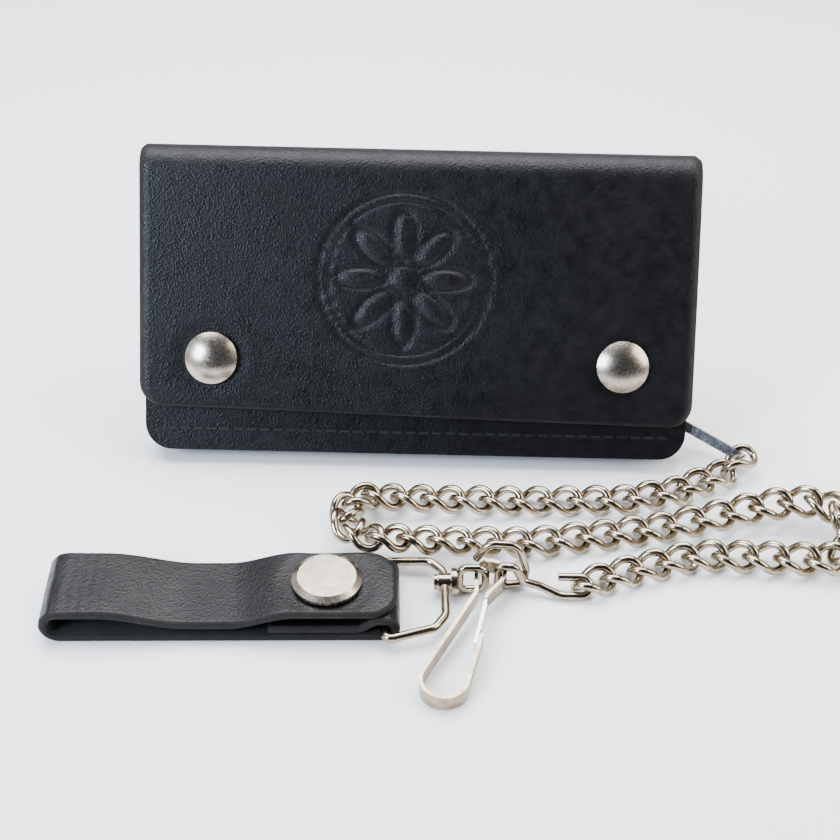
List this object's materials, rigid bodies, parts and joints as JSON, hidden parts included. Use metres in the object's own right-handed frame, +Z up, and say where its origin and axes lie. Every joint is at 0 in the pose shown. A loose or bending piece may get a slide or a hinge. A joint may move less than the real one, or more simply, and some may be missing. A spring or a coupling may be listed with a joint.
{
  "type": "chain wallet",
  "caption": "Long leather wallet shut by snaps, on a curb chain whose hook and spring clip end in a ring and a folded leather belt strap.",
  "frame": {"origin": "middle of the wallet's back face, on which it leans back 30 degrees", "axes": "+X to the wallet's right, towards the chain; +Z up; -Y towards whoever faces the wallet. The table is 36.2 mm below the origin"},
  "size_m": [0.2297, 0.1482, 0.0836],
  "materials": {
    "black_leather": "satin black grained leather",
    "black_thread": "waxed black thread",
    "nickel": "worn nickel plate",
    "snap_metal": "polished nickel plate"
  },
  "bodies": {
    "wallet": {"back_panel": "black_leather", "bill_welt": "black_leather", "divider": "black_leather", "card_welt": "black_leather", "foot_welt": "black_leather", "pocket_panel": "black_leather", "seam_stitches": "black_thread", "snap_studs": "snap_metal", "snap_posts": "snap_metal", "eyelet": "snap_metal"},
    "fold": {"fold_spine": "black_leather"},
    "flap": {"flap": "black_leather", "snap_caps": "snap_metal", "snap_sockets": "snap_metal"},
    "loop": {"chain_loop": "nickel"},
    "tie": {"chain_00": "nickel"},
    "run_1": {"chain_01": "nickel"},
    "run_2": {"chain_02": "nickel"},
    "run_3": {"chain_03": "nickel"},
    "run_4": {"chain_04": "nickel"},
    "run_5": {"chain_05": "nickel"},
    "run_6": {"chain_06": "nickel"},
    "run_7": {"chain_07": "nickel"},
    "run_8": {"chain_08": "nickel"},
    "run_9": {"chain_09": "nickel"},
    "hook": {"chain_hook": "nickel"},
    "clip": {"clip_body": "nickel"},
    "gate": {"clip_gate": "nickel"},
    "swivel": {"swivel_eye": "nickel"},
    "ring": {"strap_ring": "nickel"},
    "strap": {"strap_base": "black_leather", "strap_stud": "snap_metal", "strap_post": "snap_metal"},
    "bight": {"strap_bend": "black_leather"},
    "leaf": {"strap_leaf": "black_leather", "strap_cap": "snap_metal", "strap_socket": "snap_metal"}
  },
  "joints": [
    {"name": "fold_lower", "type": "hinge", "parent": "wallet", "child": "fold", "pos_m": [0, 0.02124, 0.04174], "axis": [-1, 0, 0], "range_deg": [0, 80], "deforming": ["fold_spine"]},
    {"name": "fold_upper", "type": "hinge", "parent": "fold", "child": "flap", "pos_m": [0, 0.01254, 0.04677], "axis": [-1, 0, 0], "range_deg": [0, 80]},
    {"name": "loop_swing", "type": "hinge", "parent": "wallet", "child": "loop", "pos_m": [0.077, -0.01558, -0.02478], "axis": [0, 0, 1], "range_deg": [0, 15]},
    {"name": "tie_swing", "type": "hinge", "parent": "loop", "child": "tie", "pos_m": [0.0999, -0.02707, -0.03186], "axis": [0, 0, 1], "range_deg": [0, 8]},
    {"name": "run_1_swing", "type": "hinge", "parent": "tie", "child": "run_1", "pos_m": [0.09452, -0.03193, -0.03201], "axis": [0, 0, 1], "range_deg": [0, 8]},
    {"name": "run_2_swing", "type": "hinge", "parent": "run_1", "child": "run_2", "pos_m": [0.04728, -0.04716, -0.03296], "axis": [0, 0, 1], "range_deg": [-2, 0]},
    {"name": "run_3_swing", "type": "hinge", "parent": "run_2", "child": "run_3", "pos_m": [-0.0121, -0.05016, -0.03098], "axis": [0, 0, 1], "range_deg": [-3, 0]},
    {"name": "run_4_swing", "type": "hinge", "parent": "run_3", "child": "run_4", "pos_m": [-0.0162, -0.06676, -0.0286], "axis": [0, 0, 1], "range_deg": [-5, 0]},
    {"name": "run_5_swing", "type": "hinge", "parent": "run_4", "child": "run_5", "pos_m": [0.01469, -0.06834, -0.03062], "axis": [0, 0, 1], "range_deg": [-1, 0]},
    {"name": "run_6_swing", "type": "hinge", "parent": "run_5", "child": "run_6", "pos_m": [0.06564, -0.05953, -0.03296], "axis": [0, 0, 1], "range_deg": [0, 8]},
    {"name": "run_7_swing", "type": "hinge", "parent": "run_6", "child": "run_7", "pos_m": [0.11573, -0.05162, -0.0281], "axis": [0, 0, 1], "range_deg": [0, 12]},
    {"name": "run_8_swing", "type": "hinge", "parent": "run_7", "child": "run_8", "pos_m": [0.12417, -0.06593, -0.03014], "axis": [0, 0, 1], "range_deg": [0, 16]},
    {"name": "run_9_swing", "type": "hinge", "parent": "run_8", "child": "run_9", "pos_m": [0.09517, -0.07052, -0.03216], "axis": [0, 0, 1], "range_deg": [0, 12]},
    {"name": "hook_swing", "type": "hinge", "parent": "run_9", "child": "hook", "pos_m": [0.0492, -0.08307, -0.03311], "axis": [0, 0, 1], "range_deg": [0, 5]},
    {"name": "clip_swing", "type": "hinge", "parent": "hook", "child": "clip", "pos_m": [0.022, -0.08188, -0.03076], "axis": [0, 0, 1], "range_deg": [0, 20]},
    {"name": "gate_flex", "type": "hinge", "parent": "clip", "child": "gate", "pos_m": [0.02017, -0.09244, -0.03139], "axis": [0.0195, 0.056, -0.9982], "range_deg": [0, 11], "stiffness_Nm_per_rad": 0.02},
    {"name": "swivel_swing", "type": "hinge", "parent": "clip", "child": "swivel", "pos_m": [0.0178, -0.08307, -0.03076], "axis": [0, 0, 1], "range_deg": [0, 8]},
    {"name": "swivel_turn", "type": "hinge", "parent": "swivel", "child": "ring", "pos_m": [0.00898, -0.08331, -0.03221], "axis": [0.9994, 0.0349, 0], "range_deg": [-90, 0]},
    {"name": "strap_lift", "type": "hinge", "parent": "ring", "child": "strap", "pos_m": [-0.0072, -0.08987, -0.03221], "axis": [-0.0349, 0.9994, 0], "range_deg": [0, 70]},
    {"name": "bend_lower", "type": "hinge", "parent": "strap", "child": "bight", "pos_m": [-0.0963, -0.09369, -0.03399], "axis": [0.0349, -0.9994, 0], "range_deg": [0, 75], "deforming": ["strap_bend"]},
    {"name": "bend_upper", "type": "hinge", "parent": "bight", "child": "leaf", "pos_m": [-0.0963, -0.09369, -0.02763], "axis": [0.0349, -0.9994, 0], "range_deg": [0, 75]}
  ],
  "couplings": [
    {"joint": "fold_upper", "follows": "fold_lower", "ratio": 1},
    {"joint": "bend_upper", "follows": "bend_lower", "ratio": 1}
  ]
}
